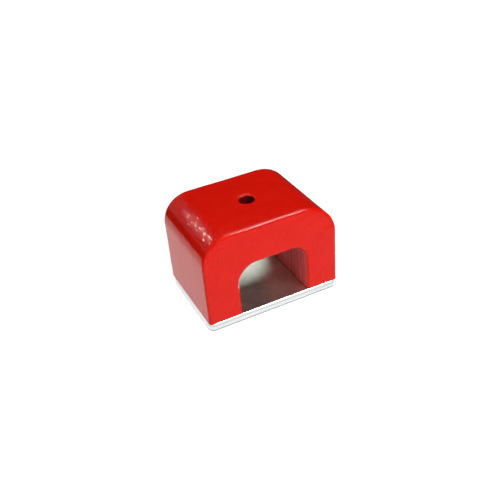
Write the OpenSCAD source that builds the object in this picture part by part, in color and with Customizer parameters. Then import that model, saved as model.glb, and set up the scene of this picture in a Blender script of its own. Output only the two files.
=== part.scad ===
// Bridge magnet with keeper: a cast permanent magnet shaped like a bridge, whose two feet are
// its poles, stood on the soft steel plate that closes the magnetic circuit between them.
// Frame: X across the two poles, Y along the tunnel, Z up, origin under the keeper's centre.

/* [Magnet casting] */
// Width across both poles
body_w = 45; // [41:0.5:60]
// Depth along the tunnel
body_d = 31; // [20:0.5:50]
// Height from the pole faces to the top
body_h = 29.7; // [26:0.1:40]
// Radius of the left shoulder
left_shoulder_r = 9; // [6:0.5:12]
// Radius of the right shoulder
right_shoulder_r = 11.5; // [6:0.5:13]
// Edge break round the front and the back
edge_break = 0.4; // [0.2:0.1:1]

/* [Tunnel] */
// Width between the two poles
tunnel_w = 23.1; // [19:0.1:26]
// Height from the pole faces to the crown
tunnel_h = 16.9; // [14:0.1:20]
// Radius of the crown's left corner
left_crown_r = 6.5; // [4:0.1:9]
// Radius of the crown's right corner
right_crown_r = 5; // [4:0.1:9]
// How far the tunnel lies to the right of the middle
tunnel_shift = 0.3; // [-1:0.1:1]
// Edge break round its two mouths
tunnel_edge_break = 0.7; // [0.2:0.1:1.2]

/* [Fixing hole] */
// Diameter of the hole down through the bridge
hole_d = 4.8; // [3:0.1:6]
// Diameter of its countersunk mouth
mouth_d = 6.2; // [6.2:0.1:9]

/* [Keeper] */
// Thickness of the plate
keeper_t = 2.8; // [2.5:0.1:6]
// Radius of its corners in plan
keeper_corner_r = 2; // [1.2:0.1:4]
// Edge break round its upper and lower faces
keeper_edge_break = 0.4; // [0.2:0.1:1]

/* [Hidden] */
$fn = 96;
// How far a cut runs past the face that it opens
past = 0.1;
body_top = keeper_t + body_h;
crown_z = keeper_t + tunnel_h;
mouth_depth = (mouth_d - hole_d) / 2;

// A round corner of an arch: a disc along Y, whose rims flare outwards by flare.
module arch_corner(x, z, radius, half_depth, flare) {
    straight = half_depth - abs(flare);
    translate([x, 0, z])
        rotate([90, 0, 0])
            rotate_extrude()
                polygon([
                    [0, -half_depth],
                    [radius + flare, -half_depth],
                    [radius, -straight],
                    [radius, straight],
                    [radius + flare, half_depth],
                    [0, half_depth]
                ]);
}

// One upright side of an arch, from its middle out to x; side is -1 on the left, 1 on the right.
module arch_side(middle, x, side, floor_z, top_z, half_depth, flare) {
    straight = half_depth - abs(flare);
    rim_x = x + side * flare;
    translate([0, 0, floor_z])
        linear_extrude(top_z - floor_z)
            polygon([
                [middle, -half_depth],
                [rim_x, -half_depth],
                [x, -straight],
                [x, straight],
                [rim_x, half_depth],
                [middle, half_depth]
            ]);
}

// The level stretch of an arch between its two round corners.
module arch_crown(start_x, end_x, floor_z, top_z, half_depth, flare) {
    straight = half_depth - abs(flare);
    translate([start_x, 0, 0])
        rotate([90, 0, 90])
            linear_extrude(end_x - start_x)
                polygon([
                    [-half_depth, floor_z],
                    [-half_depth, top_z + flare],
                    [-straight, top_z],
                    [straight, top_z],
                    [half_depth, top_z + flare],
                    [half_depth, floor_z]
                ]);
}

// A whole arch, filled: two upright sides, two round corners and a level crown.
module arch(middle, width, floor_z, top_z, left_r, right_r, half_depth, flare) {
    left_x = middle - width / 2;
    right_x = middle + width / 2;
    crown_floor_z = top_z - max(left_r, right_r);
    arch_side(middle, left_x, -1, floor_z, top_z - left_r, half_depth, flare);
    arch_side(middle, right_x, 1, floor_z, top_z - right_r, half_depth, flare);
    arch_corner(left_x + left_r, top_z - left_r, left_r, half_depth, flare);
    arch_corner(right_x - right_r, top_z - right_r, right_r, half_depth, flare);
    arch_crown(left_x + left_r, right_x - right_r, crown_floor_z, top_z, half_depth, flare);
}

module tunnel() {
    arch(tunnel_shift, tunnel_w, keeper_t - past, crown_z, left_crown_r, right_crown_r,
        body_d / 2 + past, tunnel_edge_break + past);
}

// The hole from the top into the tunnel, with a countersunk mouth.
module fixing_hole() {
    translate([0, 0, keeper_t])
        cylinder(d = hole_d, h = body_h + past);
    translate([0, 0, body_top - mouth_depth])
        cylinder(d1 = hole_d, d2 = mouth_d + 2 * past, h = mouth_depth + past);
}

module magnet_body() {
    color("red")
        difference() {
            arch(0, body_w, keeper_t, body_top, left_shoulder_r, right_shoulder_r,
                body_d / 2, -edge_break);
            tunnel();
            fixing_hole();
        }
}

// The section of a plate of the given width, with its four edges broken.
module plate_section(width) {
    half_w = width / 2;
    polygon([
        [-half_w + keeper_edge_break, 0],
        [half_w - keeper_edge_break, 0],
        [half_w, keeper_edge_break],
        [half_w, keeper_t - keeper_edge_break],
        [half_w - keeper_edge_break, keeper_t],
        [-half_w + keeper_edge_break, keeper_t],
        [-half_w, keeper_t - keeper_edge_break],
        [-half_w, keeper_edge_break]
    ]);
}

// A round corner of the plate, with its two rims broken.
module plate_corner() {
    rotate_extrude()
        polygon([
            [0, 0],
            [keeper_corner_r - keeper_edge_break, 0],
            [keeper_corner_r, keeper_edge_break],
            [keeper_corner_r, keeper_t - keeper_edge_break],
            [keeper_corner_r - keeper_edge_break, keeper_t],
            [0, keeper_t]
        ]);
}

module keeper_plate() {
    straight_w = body_w - 2 * keeper_corner_r;
    straight_d = body_d - 2 * keeper_corner_r;
    color("silver")
        union() {
            translate([0, straight_d / 2, 0])
                rotate([90, 0, 0])
                    linear_extrude(straight_d)
                        plate_section(body_w);
            translate([-straight_w / 2, 0, 0])
                rotate([90, 0, 90])
                    linear_extrude(straight_w)
                        plate_section(body_d);
            for (x = [-straight_w / 2, straight_w / 2])
                for (y = [-straight_d / 2, straight_d / 2])
                    translate([x, y, 0])
                        plate_corner();
        }
}

magnet_body();
keeper_plate();
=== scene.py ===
import math

import bmesh
import bpy
from mathutils import Matrix, Vector, noise


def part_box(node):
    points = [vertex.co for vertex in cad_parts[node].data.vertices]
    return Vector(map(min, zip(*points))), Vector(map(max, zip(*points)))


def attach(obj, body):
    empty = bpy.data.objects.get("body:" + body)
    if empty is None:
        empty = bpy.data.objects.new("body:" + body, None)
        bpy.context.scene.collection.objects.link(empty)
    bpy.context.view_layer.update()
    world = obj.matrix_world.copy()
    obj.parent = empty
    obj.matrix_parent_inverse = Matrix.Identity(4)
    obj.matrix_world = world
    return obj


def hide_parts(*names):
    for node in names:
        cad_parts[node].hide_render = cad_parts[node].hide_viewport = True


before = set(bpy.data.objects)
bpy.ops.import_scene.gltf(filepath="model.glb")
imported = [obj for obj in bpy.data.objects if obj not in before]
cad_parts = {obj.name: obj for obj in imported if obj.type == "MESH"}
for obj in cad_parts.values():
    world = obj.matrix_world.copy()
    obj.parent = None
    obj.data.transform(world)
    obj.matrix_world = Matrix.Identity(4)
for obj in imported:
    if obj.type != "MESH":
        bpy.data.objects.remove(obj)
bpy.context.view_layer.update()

MM = 0.001

# The casting's outline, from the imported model's boxes and the design's own radii.
BODY_LOW, BODY_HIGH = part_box("magnet_body")
PLATE_LOW, PLATE_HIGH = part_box("keeper_plate")
POLE_Z = BODY_LOW.z
TOP_Z = BODY_HIGH.z
LEFT_SHOULDER_R = 9 * MM
RIGHT_SHOULDER_R = 11.5 * MM
TUNNEL_W = 23.1 * MM
TUNNEL_SHIFT = 0.3 * MM
CROWN_Z = POLE_Z + 16.9 * MM
LEFT_CROWN_R = 6.5 * MM
RIGHT_CROWN_R = 5 * MM
EDGE_R = 0.4 * MM
TUNNEL_EDGE_R = 0.7 * MM
# A rounding of power 1 is a quarter circle and one of power 2 a flat chamfer, so this lies between them.
EDGE_POWER = 1.75
FOOT_EDGE_R = 0.15 * MM

# The fixing hole. Its mouth is a rounded countersink, and its lower end a small rounding.
HOLE_R = 2.4 * MM
MOUTH_R = 3.1 * MM
MOUTH_DEPTH = 0.7 * MM
LOWER_LIP = 0.3 * MM
# The glossy skin stops this far above the mouth's lower end.
GLOSS_GAP = 0.2 * MM

# The keeper's roundings, in plan and round its upper and lower faces.
PLATE_CORNER_R = 2 * MM
PLATE_LEAST_CORNER_R = 0.15 * MM
PLATE_UPPER_R = 0.4 * MM
PLATE_LOWER_R = 0.3 * MM

# How finely the casting is cut: along the arch, across its legs, along its depth, round an edge,
# and round a foot's rim.
ALONG = 152
ACROSS = 18
DEEP = 52
ROUND = 6
FOOT_STEPS = 3

# The patch of the arch's grid that the hole takes, in cells along the arch and along the depth.
PATCH_ALONG = 20
PATCH_DEEP = 12

# How finely the hole is cut: the rings between a patch's edge and its rim, as shares of the way there,
# then the steps down its mouth, down its wall and round its lower lip.
WEB_SHARES = (0.3, 0.6, 0.85)
MOUTH_STEPS = 6
WALL_STEPS = 12
LIP_STEPS = 4

# How finely the keeper is cut: round a corner, along its depth and its width, in from the rim of its
# faces, and up its sides. The steps in from the rim grow by a power, as far as a strip in the middle,
# of which half the depth is given.
CORNER_STEPS = 8
DEPTH_STEPS = 36
WIDTH_STEPS = 52
FACE_STEPS = 26
FACE_POWER = 1.3
HALF_STRIP = 0.5 * MM
SIDE_STEPS = 8

# The casting's skin lies lower by these layers of noise: waves to the millimetre, depth, and seed.
SKIN_LAYERS = (
    (0.11, 0.045 * MM, Vector((7.3, 1.9, 4.4))),
    (0.38, 0.022 * MM, Vector((2.1, 8.8, 0.6))),
    (0.95, 0.010 * MM, Vector((5.5, 3.1, 9.7))),
)
# How far above the ground feet the rough skin starts, and where it is in full.
SKIN_START = 0.3 * MM
SKIN_FULL = 2 * MM


# ---------------------------------------------------------------- outline of the arch

def arc(centre, radius, start, end):
    """A round stretch of an outline: its length, and a function from 0..1 to a point and a normal."""
    def at(t):
        angle = start + (end - start) * t
        normal = Vector((math.cos(angle), math.sin(angle)))
        return centre + radius * normal, normal
    return abs(end - start) * radius, at


def line(start, end, normal):
    """A straight stretch of an outline, in the same form as arc()."""
    return (end - start).length, lambda t: (start.lerp(end, t), normal)


def arch_outline(left_x, right_x, floor_z, top_z, left_r, right_r):
    """The stretches of an arch from its left foot to its right foot, with normals away from its inside."""
    left, up, right = Vector((-1, 0)), Vector((0, 1)), Vector((1, 0))
    left_c = Vector((left_x + left_r, top_z - left_r))
    right_c = Vector((right_x - right_r, top_z - right_r))
    return [
        line(Vector((left_x, floor_z)), Vector((left_x, left_c.y)), left),
        arc(left_c, left_r, math.pi, math.pi / 2),
        line(Vector((left_c.x, top_z)), Vector((right_c.x, top_z)), up),
        arc(right_c, right_r, math.pi / 2, 0),
        line(Vector((right_x, right_c.y)), Vector((right_x, floor_z)), right),
    ]


def sample(stretches, count):
    """Points and normals at equal steps along an outline."""
    total = sum(length for length, _ in stretches)
    samples = []
    for i in range(count + 1):
        distance = total * i / count
        for length, at in stretches[:-1]:
            if distance <= length:
                break
            distance -= length
        else:
            length, at = stretches[-1]
        samples.append(at(min(distance / length, 1)))
    return samples


# ---------------------------------------------------------------- small mesh helpers

# The casting's and the keeper's materials, by their places in their lists.
SKIN, POLE, TUNNEL, BORE = range(4)
FACE, SIDE = range(2)


def quads_between(bm, first, second, material):
    """A strip of quads between two closed rings of vertices."""
    for i in range(len(first)):
        j = (i + 1) % len(first)
        face = bm.faces.new((first[i], first[j], second[j], second[i]))
        face.material_index = material
        face.smooth = True


def finished_object(name, bm, materials, node, body):
    """Turns a bmesh into a piece that stands for a CAD node and rides on its body."""
    bmesh.ops.recalc_face_normals(bm, faces=bm.faces)
    mesh = bpy.data.meshes.new(name)
    bm.to_mesh(mesh)
    bm.free()
    for material in materials:
        mesh.materials.append(material)
    piece = bpy.data.objects.new(name, mesh)
    bpy.context.scene.collection.objects.link(piece)
    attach(piece, body)
    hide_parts(node)


def smoothstep(low, high, value):
    """A smooth rise from 0 at low to 1 at high."""
    t = min(max((value - low) / (high - low), 0), 1)
    return t * t * (3 - 2 * t)


# ---------------------------------------------------------------- the casting

def casting_rings(bm):
    """One closed ring of vertices round the bridge's section at each step along the arch."""
    outer = sample(
        arch_outline(BODY_LOW.x, BODY_HIGH.x, POLE_Z + FOOT_EDGE_R, TOP_Z,
                     LEFT_SHOULDER_R, RIGHT_SHOULDER_R), ALONG)
    inner = sample(
        arch_outline(TUNNEL_SHIFT - TUNNEL_W / 2, TUNNEL_SHIFT + TUNNEL_W / 2, POLE_Z + FOOT_EDGE_R, CROWN_Z,
                     LEFT_CROWN_R, RIGHT_CROWN_R), ALONG)
    front_y, back_y = BODY_LOW.y, BODY_HIGH.y
    rings = []
    for (outer_at, outer_n), (inner_at, inner_n) in zip(outer, inner):
        inner_n = -inner_n
        ring = []

        def add(at, normal, y, y_part):
            """A vertex of the ring, with the way out of the section at it."""
            vertex = bm.verts.new((at.x, y, at.y))
            ring.append((vertex, Vector((normal.x, y_part, normal.y))))

        def long_face(at, normal, radius, start, end):
            """A run of vertices along the depth, between the roundings of its two ends."""
            towards = 1 if end > start else -1
            for step in range(DEEP + 1):
                y = start + towards * radius + (end - start - 2 * towards * radius) * step / DEEP
                add(at, normal, y, 0)

        def edge(at, normal, radius, y, side, outwards):
            """The rounding between a long face and the front or the back."""
            steps = range(1, ROUND) if outwards else range(ROUND - 1, 0, -1)
            for step in steps:
                angle = math.pi / 2 * step / ROUND
                inset = radius * (1 - math.cos(angle) ** EDGE_POWER)
                setback = radius * (1 - math.sin(angle) ** EDGE_POWER)
                add(at - normal * inset, normal * math.cos(angle), y - side * setback, side * math.sin(angle))

        outer_rim = outer_at - outer_n * EDGE_R
        inner_rim = inner_at - inner_n * TUNNEL_EDGE_R
        long_face(outer_at, outer_n, EDGE_R, front_y, back_y)
        edge(outer_at, outer_n, EDGE_R, back_y, 1, True)
        for step in range(ACROSS + 1):
            add(outer_rim.lerp(inner_rim, step / ACROSS), Vector((0, 0)), back_y, 1)
        edge(inner_at, inner_n, TUNNEL_EDGE_R, back_y, 1, False)
        long_face(inner_at, inner_n, TUNNEL_EDGE_R, back_y, front_y)
        edge(inner_at, inner_n, TUNNEL_EDGE_R, front_y, -1, True)
        for step in range(ACROSS + 1):
            add(inner_rim.lerp(outer_rim, step / ACROSS), Vector((0, 0)), front_y, -1)
        edge(outer_at, outer_n, EDGE_R, front_y, -1, False)
        rings.append(ring)
    return rings


def close_foot(bm, ring):
    """Rounds a foot's rim down to its ground pole face and closes it."""
    previous = [vertex for vertex, _ in ring]
    for step in range(1, FOOT_STEPS + 1):
        angle = math.pi / 2 * step / FOOT_STEPS
        row = []
        for vertex, out in ring:
            place = vertex.co - out * FOOT_EDGE_R * (1 - math.cos(angle))
            place.z = POLE_Z + FOOT_EDGE_R * (1 - math.sin(angle))
            row.append(bm.verts.new(place))
        quads_between(bm, previous, row, SKIN)
        previous = row
    bm.faces.new(previous).material_index = POLE


def patch_boundary(grid, first):
    """The vertices round a rectangle of the grid, in order, from the corner at first."""
    along, deep = first
    low_row = [(along + i, deep) for i in range(PATCH_ALONG)]
    right_row = [(along + PATCH_ALONG, deep + j) for j in range(PATCH_DEEP)]
    high_row = [(along + PATCH_ALONG - i, deep + PATCH_DEEP) for i in range(PATCH_ALONG)]
    left_row = [(along, deep + PATCH_DEEP - j) for j in range(PATCH_DEEP)]
    return [grid[i][j] for i, j in low_row + right_row + high_row + left_row]


def hole_ring(bm, count, radius, z):
    """A ring of the hole, started at the same corner as the patches."""
    start = -math.pi / 2 - math.pi * PATCH_ALONG / count
    ring = []
    for i in range(count):
        angle = start + 2 * math.pi * i / count
        ring.append(bm.verts.new((radius * math.cos(angle), radius * math.sin(angle), z)))
    return ring


def web(bm, boundary, radius, z, material):
    """Quads from a square patch's boundary in to the hole's rim; returns the rim."""
    rim = hole_ring(bm, len(boundary), radius, z)
    previous = boundary
    for share in WEB_SHARES:
        row = [bm.verts.new(outer.co.lerp(inner.co, share)) for outer, inner in zip(boundary, rim)]
        quads_between(bm, previous, row, material)
        previous = row
    quads_between(bm, previous, rim, material)
    return rim


def bore(bm, upper, lower):
    """The hole's wall from the rim in the top to the rim in the tunnel's crown."""
    wall_top = TOP_Z - MOUTH_DEPTH
    wall_low = CROWN_Z + LOWER_LIP
    profile = []
    for step in range(1, MOUTH_STEPS + 1):
        angle = math.pi / 2 * step / MOUTH_STEPS
        profile.append((MOUTH_R - (MOUTH_R - HOLE_R) * math.sin(angle),
                        TOP_Z - MOUTH_DEPTH * (1 - math.cos(angle))))
    for step in range(1, WALL_STEPS + 1):
        profile.append((HOLE_R, wall_top + (wall_low - wall_top) * step / WALL_STEPS))
    for step in range(1, LIP_STEPS):
        angle = math.pi / 2 * step / LIP_STEPS
        profile.append((HOLE_R + LOWER_LIP * (1 - math.cos(angle)),
                        wall_low - LOWER_LIP * math.sin(angle)))

    # The glossy skin goes over the mouth's rim and most of the way down it.
    skin_ends = wall_top + GLOSS_GAP
    previous = upper
    for radius, z in profile:
        row = hole_ring(bm, len(upper), radius, z)
        quads_between(bm, previous, row, SKIN if z > skin_ends else BORE)
        previous = row
    quads_between(bm, previous, lower, BORE)


def roughen_casting(bm):
    """Lowers the skin a little, unevenly, as sand-cast metal under paint is, but not at the ground feet."""
    bm.normal_update()
    moves = []
    for vertex in bm.verts:
        above_foot = smoothstep(POLE_Z + SKIN_START, POLE_Z + SKIN_FULL, vertex.co.z)
        place = vertex.co / MM
        depth = sum(deep * (0.5 + noise.noise(place * waves + seed)) for waves, deep, seed in SKIN_LAYERS)
        moves.append(-vertex.normal * max(depth, 0) * above_foot)
    for vertex, move in zip(bm.verts, moves):
        vertex.co += move


def make_casting(materials):
    """The magnet: the arch with its tunnel, its two feet, and the hole through its crown."""
    bm = bmesh.new()
    rings = casting_rings(bm)
    size = len(rings[0])
    vertices = [[vertex for vertex, _ in ring] for ring in rings]

    # The long outer face starts each ring, and the tunnel's face lies opposite it.
    inner_start = DEEP + 1 + 2 * (ROUND - 1) + ACROSS + 1
    outer_grid = [ring[:DEEP + 1] for ring in vertices]
    inner_grid = [ring[inner_start:inner_start + DEEP + 1] for ring in vertices]
    deep_start = (DEEP - PATCH_DEEP) // 2

    def patch_start(grid):
        """The step along the arch where a patch centred on the hole begins."""
        crown = range(ALONG // 4, 3 * ALONG // 4)
        nearest = min(crown, key=lambda i: abs(grid[i][0].co.x))
        return nearest - PATCH_ALONG // 2

    outer_first = patch_start(outer_grid)
    inner_first = patch_start(inner_grid)
    open_outer = {(i, j) for i in range(outer_first, outer_first + PATCH_ALONG)
                  for j in range(deep_start, deep_start + PATCH_DEEP)}
    open_inner = {(i, j + inner_start) for i in range(inner_first, inner_first + PATCH_ALONG)
                  for j in range(deep_start, deep_start + PATCH_DEEP)}
    for i in range(ALONG):
        for j in range(size):
            if (i, j) in open_outer or (i, j) in open_inner:
                continue
            k = (j + 1) % size
            face = bm.faces.new((vertices[i][j], vertices[i][k], vertices[i + 1][k], vertices[i + 1][j]))
            face.smooth = True
            if inner_start <= j < inner_start + DEEP:
                face.material_index = TUNNEL
    close_foot(bm, rings[0])
    close_foot(bm, rings[-1])

    # The tunnel's face runs from the back to the front, so its patch is read from the far corner.
    upper = web(bm, patch_boundary(outer_grid, (outer_first, deep_start)), MOUTH_R, TOP_Z, SKIN)
    mirrored = [list(reversed(row)) for row in inner_grid]
    lower = web(bm, patch_boundary(mirrored, (inner_first, deep_start)), HOLE_R + LOWER_LIP, CROWN_Z,
                TUNNEL)
    bore(bm, upper, lower)

    # The vertices inside the two patches have no faces.
    loose = [vertex for vertex in bm.verts if not vertex.link_faces]
    bmesh.ops.delete(bm, geom=loose, context="VERTS")
    bmesh.ops.recalc_face_normals(bm, faces=bm.faces)
    roughen_casting(bm)
    finished_object("casting", bm, materials, "magnet_body", "magnet")


# ---------------------------------------------------------------- the keeper

def plate_ring(bm, inset, z):
    """A rounded rectangle of vertices, set in from the plate's outline."""
    radius = max(PLATE_CORNER_R - inset, PLATE_LEAST_CORNER_R)
    half_w = PLATE_HIGH.x - inset
    half_d = PLATE_HIGH.y - inset
    corners = [Vector((side_x * (half_w - radius), side_y * (half_d - radius)))
               for side_x, side_y in ((1, -1), (1, 1), (-1, 1), (-1, -1))]
    ring = []
    for i, corner in enumerate(corners):
        for step in range(CORNER_STEPS + 1):
            angle = math.pi / 2 * (i - 1 + step / CORNER_STEPS)
            ring.append(corner + radius * Vector((math.cos(angle), math.sin(angle))))
        end_angle = math.pi / 2 * i
        start = ring[-1]
        end = corners[(i + 1) % 4] + radius * Vector((math.cos(end_angle), math.sin(end_angle)))
        steps = WIDTH_STEPS if i % 2 else DEPTH_STEPS
        for step in range(1, steps):
            ring.append(start.lerp(end, step / steps))
    return [bm.verts.new((point.x, point.y, z)) for point in ring]


def make_keeper(materials):
    """The plate: rings from the middle of its lower face, up its sides, to the middle of its upper face."""
    bm = bmesh.new()
    deepest = PLATE_HIGH.y - HALF_STRIP
    least = 1.5 * PLATE_UPPER_R
    levels = {max(deepest * (step / FACE_STEPS) ** FACE_POWER, least) for step in range(1, FACE_STEPS + 1)}
    levels = sorted(levels, reverse=True)
    quarter = [math.pi / 2 * step / ROUND for step in range(ROUND + 1)]
    profile = [(inset, PLATE_LOW.z) for inset in levels]
    for angle in quarter:
        profile.append((PLATE_LOWER_R * (1 - math.sin(angle)),
                        PLATE_LOW.z + PLATE_LOWER_R * (1 - math.cos(angle))))
    side_low = PLATE_LOW.z + PLATE_LOWER_R
    side_height = PLATE_HIGH.z - PLATE_UPPER_R - side_low
    for step in range(1, SIDE_STEPS):
        profile.append((0, side_low + side_height * step / SIDE_STEPS))
    for angle in quarter:
        profile.append((PLATE_UPPER_R * (1 - math.cos(angle)),
                        PLATE_HIGH.z - PLATE_UPPER_R * (1 - math.sin(angle))))
    profile += [(inset, PLATE_HIGH.z) for inset in reversed(levels)]
    rings = [plate_ring(bm, inset, z) for inset, z in profile]
    for step, (first, second) in enumerate(zip(rings, rings[1:])):
        on_side = len(levels) <= step < len(rings) - len(levels) - 1
        quads_between(bm, first, second, SIDE if on_side else FACE)
    for end in (rings[0], rings[-1]):
        bm.faces.new(end).smooth = True
    finished_object("keeper", bm, materials, "keeper_plate", "keeper")


# ---------------------------------------------------------------- materials

def new_material(name):
    """A material with nothing but a Principled shader, and that shader."""
    material = bpy.data.materials.new(name)
    material.use_nodes = True
    nodes = material.node_tree.nodes
    nodes.clear()
    output = nodes.new("ShaderNodeOutputMaterial")
    shader = nodes.new("ShaderNodeBsdfPrincipled")
    material.node_tree.links.new(shader.outputs["BSDF"], output.inputs["Surface"])
    return material, shader


class Tree:
    """Short ways to add nodes to one material."""

    def __init__(self, material):
        self.nodes = material.node_tree.nodes
        self.links = material.node_tree.links
        self.place = self.nodes.new("ShaderNodeTexCoord").outputs["Object"]

    def link(self, source, target):
        """Joins a socket to another node's socket."""
        self.links.new(source, target)

    def scaled(self, factors, shift=(0, 0, 0)):
        """The place on the piece, stretched by a factor along each axis and then moved."""
        mapping = self.nodes.new("ShaderNodeMapping")
        mapping.inputs["Scale"].default_value = factors
        mapping.inputs["Location"].default_value = shift
        self.link(self.place, mapping.inputs["Vector"])
        return mapping.outputs["Vector"]

    def along(self, axis):
        """The place's X, Y or Z, in metres."""
        node = self.nodes.new("ShaderNodeSeparateXYZ")
        self.link(self.place, node.inputs["Vector"])
        return node.outputs[axis]

    def distance_from(self, x, z):
        """The distance, in metres, from a line along the depth through x and z."""
        length = self.nodes.new("ShaderNodeVectorMath")
        length.operation = "LENGTH"
        self.link(self.scaled((1, 0, 1), (-x, 0, -z)), length.inputs[0])
        return length.outputs["Value"]

    def noise(self, scale, detail=3, rough=0.5, vector=None):
        """A noise of about so many waves to the metre, with finer octaves up to detail."""
        texture = self.nodes.new("ShaderNodeTexNoise")
        texture.inputs["Scale"].default_value = scale
        texture.inputs["Detail"].default_value = detail
        texture.inputs["Roughness"].default_value = rough
        self.link(vector or self.place, texture.inputs["Vector"])
        return texture.outputs["Fac"]

    def spread(self, source, low, high, to_low=0, to_high=1):
        """Maps a value's range low..high to to_low..to_high, held at both ends."""
        node = self.nodes.new("ShaderNodeMapRange")
        node.inputs["From Min"].default_value = low
        node.inputs["From Max"].default_value = high
        node.inputs["To Min"].default_value = to_low
        node.inputs["To Max"].default_value = to_high
        self.link(source, node.inputs["Value"])
        return node.outputs["Result"]

    def vary(self, source, to_low=0, to_high=1):
        """Spreads a noise, which seldom leaves 0.3..0.7, over to_low..to_high."""
        return self.spread(source, 0.3, 0.7, to_low, to_high)

    def where(self, axis, none, full):
        """A share that rises from 0 to 1 between two places on an axis, in either direction."""
        return self.spread(self.along(axis), none, full)

    def product(self, first, *others):
        """The product of shares, which is 1 only where all of them are."""
        for other in others:
            node = self.nodes.new("ShaderNodeMath")
            node.operation = "MULTIPLY"
            self.link(first, node.inputs[0])
            self.link(other, node.inputs[1])
            first = node.outputs["Value"]
        return first

    def mix(self, share, first, second):
        """Blends two colours, each a tuple or a socket, by the share of the second."""
        node = self.nodes.new("ShaderNodeMix")
        node.data_type = "RGBA"
        first_in, second_in = [socket for socket in node.inputs if socket.type == "RGBA"]
        self.link(share, node.inputs[0])
        for socket, colour in ((first_in, first), (second_in, second)):
            if isinstance(colour, tuple):
                socket.default_value = (*colour, 1)
            else:
                self.link(colour, socket)
        return next(socket for socket in node.outputs if socket.type == "RGBA")

    def bump(self, height, strength, distance, normal=None):
        """Bump of a height, up to a distance in metres; strength is a number, or a socket if it varies."""
        node = self.nodes.new("ShaderNodeBump")
        node.inputs["Distance"].default_value = distance
        if isinstance(strength, (int, float)):
            node.inputs["Strength"].default_value = strength
        else:
            self.link(strength, node.inputs["Strength"])
        self.link(height, node.inputs["Height"])
        if normal:
            self.link(normal, node.inputs["Normal"])
        return node.outputs["Normal"]


def painted_rim_highlight(tree):
    """How strongly a highlight is painted along the left corner of the crown's front rim, where the rim
    catches light, broken up along it.
    """
    corner_x = TUNNEL_SHIFT - TUNNEL_W / 2 + LEFT_CROWN_R
    corner_z = CROWN_Z - LEFT_CROWN_R
    on_rim = tree.spread(tree.distance_from(corner_x, corner_z),
                         LEFT_CROWN_R + 0.72 * MM, LEFT_CROWN_R + 0.62 * MM)
    at_front = tree.where("Y", BODY_LOW.y + 1.5 * MM, BODY_LOW.y + 1.2 * MM)
    on_left = tree.where("X", corner_x + 2 * MM, corner_x - 1 * MM)
    above = tree.where("Z", corner_z - 2 * MM, corner_z + 1 * MM)
    # Breaks the painted highlight into a broken line.
    highlight_breaks = tree.spread(tree.noise(700, 3, 0.6), 0.36, 0.48)
    return tree.product(on_rim, at_front, on_left, above, highlight_breaks)


def pitting(tree):
    """How pitted the casting is: over the front part of the left shoulder."""
    beside_top = tree.where("X", BODY_LOW.x + 8 * MM, BODY_LOW.x + 6 * MM)
    beside_wall = tree.where("X", BODY_LOW.x + 1.5 * MM, BODY_LOW.x + 2.7 * MM)
    at_front = tree.where("Y", 5 * MM, 1 * MM)
    above = tree.where("Z", TOP_Z - 10.5 * MM, TOP_Z - 7.5 * MM)
    return tree.product(beside_top, beside_wall, at_front, above)


def red_enamel():
    """Glossy paint over lumpy metal, with nicks along its front rims, and a painted highlight on the left of
    the crown's front rim.
    """
    material, shader = new_material("red_enamel")
    tree = Tree(material)
    dark_red = (0.525, 0.0050, 0.0012)
    light_red = (0.560, 0.0068, 0.0020)
    # Painted highlight: a pale cream that stands in for the light the crown's front rim catches.
    highlight_cream = (0.80, 0.58, 0.45)
    paint = tree.mix(tree.vary(tree.noise(180, 4)), dark_red, light_red)
    tree.link(tree.mix(painted_rim_highlight(tree), paint, highlight_cream), shader.inputs["Base Color"])
    tree.link(tree.vary(tree.noise(420, 3), 0.07, 0.11), shader.inputs["Roughness"])
    lumps = tree.bump(tree.noise(620, 2, 0.45), 0.3, 0.18 * MM)
    pits = tree.bump(tree.noise(1200, 0), pitting(tree), 0.2 * MM, lumps)
    on_front_rim = tree.spread(tree.along("Y"), BODY_LOW.y + 0.5 * MM, BODY_LOW.y + 0.2 * MM, 0, 0.7)
    nicks = tree.bump(tree.noise(560, 3, 0.6), on_front_rim, 0.4 * MM, pits)
    peel = tree.bump(tree.noise(2600, 2, 0.5), 0.3, 0.03 * MM, nicks)
    tree.link(peel, shader.inputs["Normal"])
    shader.inputs["IOR"].default_value = 1.29
    return material


def tunnel_enamel():
    """Duller paint in the cored tunnel: marks up and down its walls, painted lighter and pinker than the
    outer paint as light on them, and a painted shade darkening its crown.
    """
    material, shader = new_material("tunnel_enamel")
    tree = Tree(material)
    # Painted light: the walls' reds are lighter and pinker than the outer paint, standing in for light and
    # sheen on them. The marks themselves are the casting's own.
    lit_mark_dark = (0.48, 0.052, 0.052)
    lit_mark_light = (0.80, 0.105, 0.100)
    # Painted shade: the crown's deep red stands in for the shade in the top of the tunnel.
    crown_shade_red = (0.16, 0.009, 0.009)
    marks = tree.noise(700, 3, 0.6, tree.scaled((1, 1.6, 0.10)))
    walls = tree.mix(tree.spread(marks, 0.35, 0.65), lit_mark_dark, lit_mark_light)
    # How much of the painted crown shade shows, full near the crown.
    crown_shade = tree.where("Z", CROWN_Z - 2.2 * MM, CROWN_Z - 0.5 * MM)
    tree.link(tree.mix(crown_shade, walls, crown_shade_red), shader.inputs["Base Color"])
    tree.link(tree.vary(marks, 0.62, 0.42), shader.inputs["Roughness"])
    grains = tree.bump(tree.noise(1600, 3, 0.6), 0.5, 0.10 * MM)
    tree.link(tree.bump(marks, 0.6, 0.12 * MM, grains), shader.inputs["Normal"])
    return material


def bore_enamel():
    """Very dark red inside the fixing hole, much darker than the paint outside it."""
    material, shader = new_material("bore_enamel")
    tree = Tree(material)
    dark_patch = (0.07, 0.001, 0.001)
    light_patch = (0.13, 0.002, 0.002)
    patches = tree.spread(tree.noise(900, 3), 0.35, 0.65)
    tree.link(tree.mix(patches, dark_patch, light_patch), shader.inputs["Base Color"])
    tree.link(tree.bump(tree.noise(1800, 3, 0.6), 0.5, 0.08 * MM), shader.inputs["Normal"])
    shader.inputs["Roughness"].default_value = 0.6
    shader.inputs["IOR"].default_value = 1.2
    return material


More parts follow.
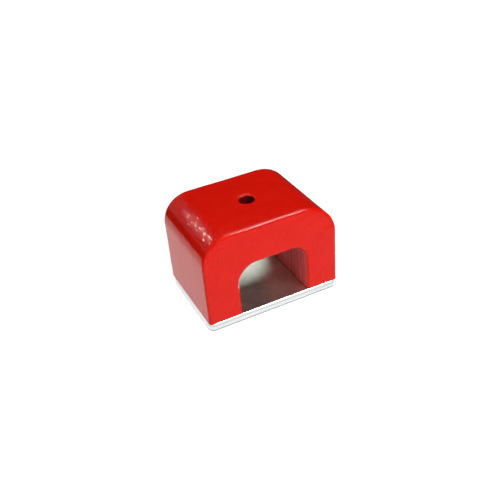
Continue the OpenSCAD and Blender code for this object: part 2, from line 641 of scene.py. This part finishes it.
def ground_pole():
    """The bare pole faces, with the grinding's fine lines across them."""
    material, shader = new_material("ground_pole")
    tree = Tree(material)
    dark_line = (0.30, 0.29, 0.28)
    light_line = (0.44, 0.43, 0.42)
    lines = tree.noise(900, 3, 0.6, tree.scaled((1, 30, 1)))
    tree.link(tree.mix(tree.vary(lines), dark_line, light_line), shader.inputs["Base Color"])
    tree.link(tree.vary(lines, 0.32, 0.5), shader.inputs["Roughness"])
    tree.link(tree.bump(lines, 0.3, 0.03 * MM), shader.inputs["Normal"])
    shader.inputs["Metallic"].default_value = 1
    return material


def zinc_face():
    """The keeper's dull flat faces: clouded, with faint rolling lines along them."""
    material, shader = new_material("zinc_face")
    tree = Tree(material)
    dark_cloud = (0.62, 0.68, 0.58)
    light_cloud = (0.78, 0.82, 0.72)
    line_grey = (0.50, 0.54, 0.47)
    clouds = tree.spread(tree.noise(240, 5, 0.65), 0.35, 0.65)
    lines = tree.noise(700, 3, 0.6, tree.scaled((0.25, 2.5, 1)))
    base = tree.mix(clouds, dark_cloud, light_cloud)
    tree.link(tree.mix(tree.spread(lines, 0.45, 0.75, 0, 0.4), base, line_grey), shader.inputs["Base Color"])
    tree.link(tree.vary(tree.noise(800, 4, 0.6), 0.33, 0.41), shader.inputs["Roughness"])
    grain = tree.bump(tree.noise(3200, 3, 0.6), 0.3, 0.02 * MM)
    tree.link(tree.bump(lines, 0.2, 0.02 * MM, grain), shader.inputs["Normal"])
    shader.inputs["Metallic"].default_value = 1
    return material


def zinc_edge():
    """The keeper's cut sides: bright, streaked along, with a greyer band and a lower rim greyed as painted
    shadow where it meets the floor.
    """
    material, shader = new_material("zinc_edge")
    tree = Tree(material)
    dull_streak = (0.72, 0.80, 0.82)
    bright_streak = (0.97, 1.0, 1.0)
    band_grey = (0.66, 0.72, 0.73)
    # Painted shadow: this grey on the lower rim stands in for the shade where the plate meets the floor.
    contact_shade_grey = (0.34, 0.38, 0.39)
    streaks = tree.noise(420, 4, 0.6, tree.scaled((0.16, 0.16, 3.2)))
    base = tree.mix(tree.spread(streaks, 0.35, 0.62), dull_streak, bright_streak)
    from_below = tree.where("Z", PLATE_LOW.z + 1.4 * MM, PLATE_LOW.z + 1.8 * MM)
    from_above = tree.where("Z", PLATE_LOW.z + 2.4 * MM, PLATE_LOW.z + 2.1 * MM)
    band = tree.product(from_below, from_above)
    # How much of the painted shadow shows, full at the lowest part of the sides.
    contact_shade = tree.where("Z", PLATE_LOW.z + 0.7 * MM, PLATE_LOW.z + 0.4 * MM)
    banded = tree.mix(band, base, band_grey)
    tree.link(tree.mix(contact_shade, banded, contact_shade_grey), shader.inputs["Base Color"])
    tree.link(tree.vary(streaks, 0.38, 0.24), shader.inputs["Roughness"])
    grain = tree.bump(tree.noise(1800, 3, 0.6), 0.3, 0.03 * MM)
    tree.link(tree.bump(streaks, 0.25, 0.05 * MM, grain), shader.inputs["Normal"])
    shader.inputs["Metallic"].default_value = 1
    return material


def paper(name, shade, glow):
    """Dull paper of one shade with a glow of its own, which lightens the shadows on it."""
    material, shader = new_material(name)
    shader.inputs["Base Color"].default_value = (*shade, 1)
    shader.inputs["Roughness"].default_value = 0.9
    shader.inputs["Specular IOR Level"].default_value = 0
    shader.inputs["Emission Color"].default_value = (*shade, 1)
    shader.inputs["Emission Strength"].default_value = glow
    return material


# ---------------------------------------------------------------- floor, lights and camera

# The white floor is a disc of this radius, in metres, with this many sides.
FLOOR_R = 3
FLOOR_SIDES = 96

# The left, front, right and back edges of the patch that stands in for the floor in reflections.
MIRRORED = (-89 * MM, -90 * MM, 50 * MM, 110 * MM)


def floor_piece(name, material, outline, z):
    """A flat piece of the stage with that outline."""
    bm = bmesh.new()
    bm.faces.new([bm.verts.new((x, y, z)) for x, y in outline])
    mesh = bpy.data.meshes.new(name)
    bm.to_mesh(mesh)
    bm.free()
    mesh.materials.append(material)
    piece = bpy.data.objects.new(name, mesh)
    bpy.context.scene.collection.objects.link(piece)
    return piece


def make_floor():
    """A white floor, with a warmer and duller patch in its place in reflections, and none further off."""
    white = paper("floor_white", (0.2, 0.2, 0.2), 4.7)
    turns = [2 * math.pi * i / FLOOR_SIDES for i in range(FLOOR_SIDES)]
    disc = [(FLOOR_R * math.cos(turn), FLOOR_R * math.sin(turn)) for turn in turns]
    floor = floor_piece("floor", white, disc, PLATE_LOW.z)
    floor.visible_glossy = False

    warm = paper("floor_warm", (0.88, 0.86, 0.83), 0.2)
    left, front, right, back = MIRRORED
    patch = ((left, front), (right, front), (right, back), (left, back))
    mirrored = floor_piece("floor_mirrored", warm, patch, PLATE_LOW.z)
    mirrored.visible_camera = False
    mirrored.visible_diffuse = False
    mirrored.visible_shadow = False


# Each softbox: its name, the way to it from the magnet, its distance, width and height in metres, its watts.
SOFTBOXES = (
    ("key", (0.37, -0.53, 0.76), 0.45, 0.13, 0.035, 1.4),
    ("fill", (0.24, -0.86, 0.45), 0.8, 0.7, 0.4, 3.5),
    ("left", (-0.75, -0.15, 0.65), 0.8, 0.5, 0.5, 1.8),
    ("overhead", (-0.35, -0.10, 0.93), 0.8, 0.5, 0.5, 0.2),
    ("rear", (0.287, 0.497, 0.819), 0.7, 0.3, 0.25, 0.75),
    ("beyond", (0.32, 0.66, 0.68), 0.7, 0.22, 0.08, 0.23),
    ("back_left", (-0.34, 0.87, 0.36), 0.8, 0.8, 0.4, 0.4),
)

# The spot lamp: what it aims at on the pitted shoulder, the way to it from there, and its cone's full angle.
GLINT = Vector((BODY_LOW.x + 4.2 * MM, BODY_LOW.y + 6 * MM, TOP_Z - 1.4 * MM))
TO_KICKER = Vector((-70.9, 160, 96.7)) * MM
KICKER_CONE = math.radians(2.8)


def stand_lamp(name, lamp, target, away):
    """Places a lamp away from a target, facing it."""
    holder = bpy.data.objects.new(name, lamp)
    holder.location = target + away
    holder.rotation_euler = away.to_track_quat("Z", "Y").to_euler()
    bpy.context.scene.collection.objects.link(holder)


def softbox(name, direction, distance, width, height, power):
    """A rectangular lamp that faces the middle of the magnet."""
    lamp = bpy.data.lights.new(name, "AREA")
    lamp.shape = "RECTANGLE"
    lamp.size = width
    lamp.size_y = height
    lamp.energy = power
    middle = Vector((0, 0, TOP_Z / 2))
    stand_lamp(name, lamp, middle, Vector(direction).normalized() * distance)


def kicker():
    """A small spot lamp, whose cone lights little more than the glint that it makes."""
    lamp = bpy.data.lights.new("kicker", "SPOT")
    lamp.spot_size = KICKER_CONE
    lamp.spot_blend = 0.5
    lamp.shadow_soft_size = 7 * MM
    lamp.energy = 0.8
    stand_lamp("kicker", lamp, GLINT, TO_KICKER)


def make_lights():
    """The lamps, and a nearly black world behind them."""
    for box in SOFTBOXES:
        softbox(*box)
    kicker()
    world = bpy.data.worlds.new("studio")
    world.use_nodes = True
    world.node_tree.nodes["Background"].inputs["Color"].default_value = (0.02, 0.02, 0.02, 1)
    bpy.context.scene.world = world


# The camera: where it is and how it leans, how far it is from what it aims at, and its lens in millimetres.
CAMERA_AZIMUTH = math.radians(23.77)
CAMERA_ELEVATION = math.radians(34.1)
CAMERA_ROLL = math.radians(-5.03)
CAMERA_DISTANCE = 228.2 * MM
CAMERA_AIM = Vector((-0.48, -0.48, 13.92)) * MM
CAMERA_LENS = 51.19


def make_camera():
    """A camera to the left of the front, turned a little about its own axis."""
    forward = Vector((math.sin(CAMERA_AZIMUTH) * math.cos(CAMERA_ELEVATION),
                      math.cos(CAMERA_AZIMUTH) * math.cos(CAMERA_ELEVATION),
                      -math.sin(CAMERA_ELEVATION)))
    level = forward.cross(Vector((0, 0, 1))).normalized()
    upright = level.cross(forward)
    right = level * math.cos(CAMERA_ROLL) + upright * math.sin(CAMERA_ROLL)
    up = upright * math.cos(CAMERA_ROLL) - level * math.sin(CAMERA_ROLL)
    data = bpy.data.cameras.new("camera")
    data.lens = CAMERA_LENS
    data.sensor_width = 36
    data.clip_start = 0.005
    data.clip_end = 20
    camera = bpy.data.objects.new("camera", data)
    turn = Matrix((right, up, -forward)).transposed().to_4x4()
    camera.matrix_world = Matrix.Translation(CAMERA_AIM - forward * CAMERA_DISTANCE) @ turn
    bpy.context.scene.collection.objects.link(camera)
    bpy.context.scene.camera = camera


make_camera()
make_casting([red_enamel(), ground_pole(), tunnel_enamel(), bore_enamel()])
make_keeper([zinc_face(), zinc_edge()])
make_floor()
make_lights()
bpy.context.scene.view_settings.view_transform = "Standard"
